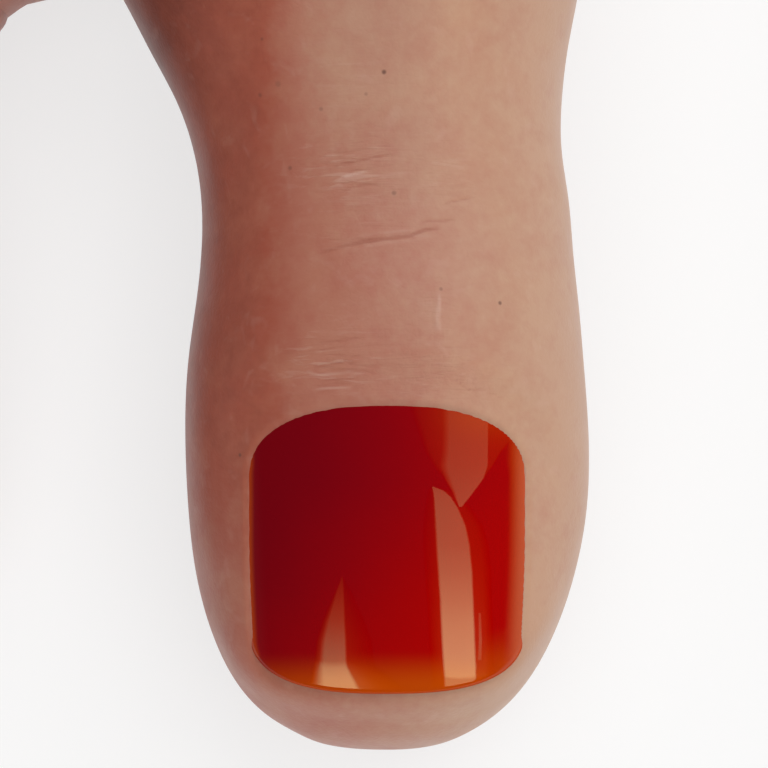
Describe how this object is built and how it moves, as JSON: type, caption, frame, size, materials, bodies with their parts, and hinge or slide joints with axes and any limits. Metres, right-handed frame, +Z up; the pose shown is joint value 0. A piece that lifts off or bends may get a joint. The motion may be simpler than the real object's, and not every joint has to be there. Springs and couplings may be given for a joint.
{
  "type": "nail practice foot",
  "caption": "Soft silicone practice foot over a hard skeleton, with hinged toes and press-on nails that slide out from under each cuticle.",
  "frame": {"origin": "on the surface the foot stands on, under the middle of its bounding box", "axes": "+Y from the toes to the heel, +X to the big toe's side, +Z up out of the ankle"},
  "size_m": [0.0938, 0.23, 0.096],
  "materials": {
    "silicone": "matt tan-pink skin with a faint sheen",
    "nail_polish": "high-gloss red, darker in the middle and orange at the rim",
    "nail_bed": "satin pale pink",
    "hard_resin": "matt off-white",
    "steel": "fine brushed"
  },
  "bodies": {
    "foot": {"foot_skin": "silicone", "core": "hard_resin", "hinge_plate": "hard_resin", "ankle_cap": "hard_resin", "cap_screw_1": "steel", "cap_screw_2": "steel", "cap_screw_3": "steel", "plate_screw_1": "steel", "plate_screw_2": "steel", "big_toe_root_skin": "silicone", "second_toe_root_skin": "silicone", "third_toe_root_skin": "silicone", "fourth_toe_root_skin": "silicone", "little_toe_root_skin": "silicone", "big_toe_root_pin": "steel", "second_toe_root_pin": "steel", "third_toe_root_pin": "steel", "fourth_toe_root_pin": "steel", "little_toe_root_pin": "steel"},
    "big_toe_base": {"big_toe_middle_skin": "silicone", "big_toe_middle_bone": "hard_resin", "big_toe_knuckle_pin": "steel", "big_toe_knuckle_skin": "silicone"},
    "big_toe_end": {"big_toe_tip_skin": "silicone", "big_toe_tip_bone": "hard_resin", "big_toe_nail_bed": "nail_bed"},
    "big_toe_nail_plate": {"big_toe_nail": "nail_polish"},
    "second_toe": {"second_toe_tip_skin": "silicone", "second_toe_tip_bone": "hard_resin", "second_toe_nail_bed": "nail_bed"},
    "second_toe_nail_plate": {"second_toe_nail": "nail_polish"},
    "third_toe": {"third_toe_tip_skin": "silicone", "third_toe_tip_bone": "hard_resin", "third_toe_nail_bed": "nail_bed"},
    "third_toe_nail_plate": {"third_toe_nail": "nail_polish"},
    "fourth_toe": {"fourth_toe_tip_skin": "silicone", "fourth_toe_tip_bone": "hard_resin", "fourth_toe_nail_bed": "nail_bed"},
    "fourth_toe_nail_plate": {"fourth_toe_nail": "nail_polish"},
    "little_toe": {"little_toe_tip_skin": "silicone", "little_toe_tip_bone": "hard_resin", "little_toe_nail_bed": "nail_bed"},
    "little_toe_nail_plate": {"little_toe_nail": "nail_polish"}
  },
  "joints": [
    {"name": "big_toe_root", "type": "hinge", "parent": "foot", "child": "big_toe_base", "pos_m": [0.03366, -0.069, 0.0124], "axis": [1, 0, 0], "range_deg": [-38, 20], "deforming": ["big_toe_root_skin"]},
    {"name": "big_toe_knuckle", "type": "hinge", "parent": "big_toe_base", "child": "big_toe_end", "pos_m": [0.03366, -0.0875, 0.0113], "axis": [1, 0, 0], "range_deg": [-10, 45], "deforming": ["big_toe_knuckle_skin"]},
    {"name": "second_toe_root", "type": "hinge", "parent": "foot", "child": "second_toe", "pos_m": [0.00406, -0.0785, 0.0084], "axis": [1, 0, 0], "range_deg": [-42, 25], "deforming": ["second_toe_root_skin"]},
    {"name": "third_toe_root", "type": "hinge", "parent": "foot", "child": "third_toe", "pos_m": [-0.01004, -0.0755, 0.0084], "axis": [0.9996, -0.0274, 0], "range_deg": [-42, 25], "deforming": ["third_toe_root_skin"]},
    {"name": "fourth_toe_root", "type": "hinge", "parent": "foot", "child": "fourth_toe", "pos_m": [-0.02354, -0.0705, 0.0084], "axis": [0.9984, -0.0571, 0], "range_deg": [-42, 25], "deforming": ["fourth_toe_root_skin"]},
    {"name": "little_toe_root", "type": "hinge", "parent": "foot", "child": "little_toe", "pos_m": [-0.03694, -0.0635, 0.0084], "axis": [0.9959, -0.0909, 0], "range_deg": [-42, 25], "deforming": ["little_toe_root_skin"]},
    {"name": "big_toe_nail_slide", "type": "slide", "parent": "big_toe_end", "child": "big_toe_nail_plate", "axis": [0, -0.9951, -0.0984], "range_m": [0, 0.018]},
    {"name": "second_toe_nail_slide", "type": "slide", "parent": "second_toe", "child": "second_toe_nail_plate", "axis": [0, -0.9947, -0.103], "range_m": [0, 0.01]},
    {"name": "third_toe_nail_slide", "type": "slide", "parent": "third_toe", "child": "third_toe_nail_plate", "axis": [-0.0272, -0.9911, -0.1305], "range_m": [0, 0.009]},
    {"name": "fourth_toe_nail_slide", "type": "slide", "parent": "fourth_toe", "child": "fourth_toe_nail_plate", "axis": [-0.0564, -0.9874, -0.148], "range_m": [0, 0.0085]},
    {"name": "little_toe_nail_slide", "type": "slide", "parent": "little_toe", "child": "little_toe_nail_plate", "axis": [-0.0895, -0.9798, -0.1787], "range_m": [0, 0.0075]}
  ]
}
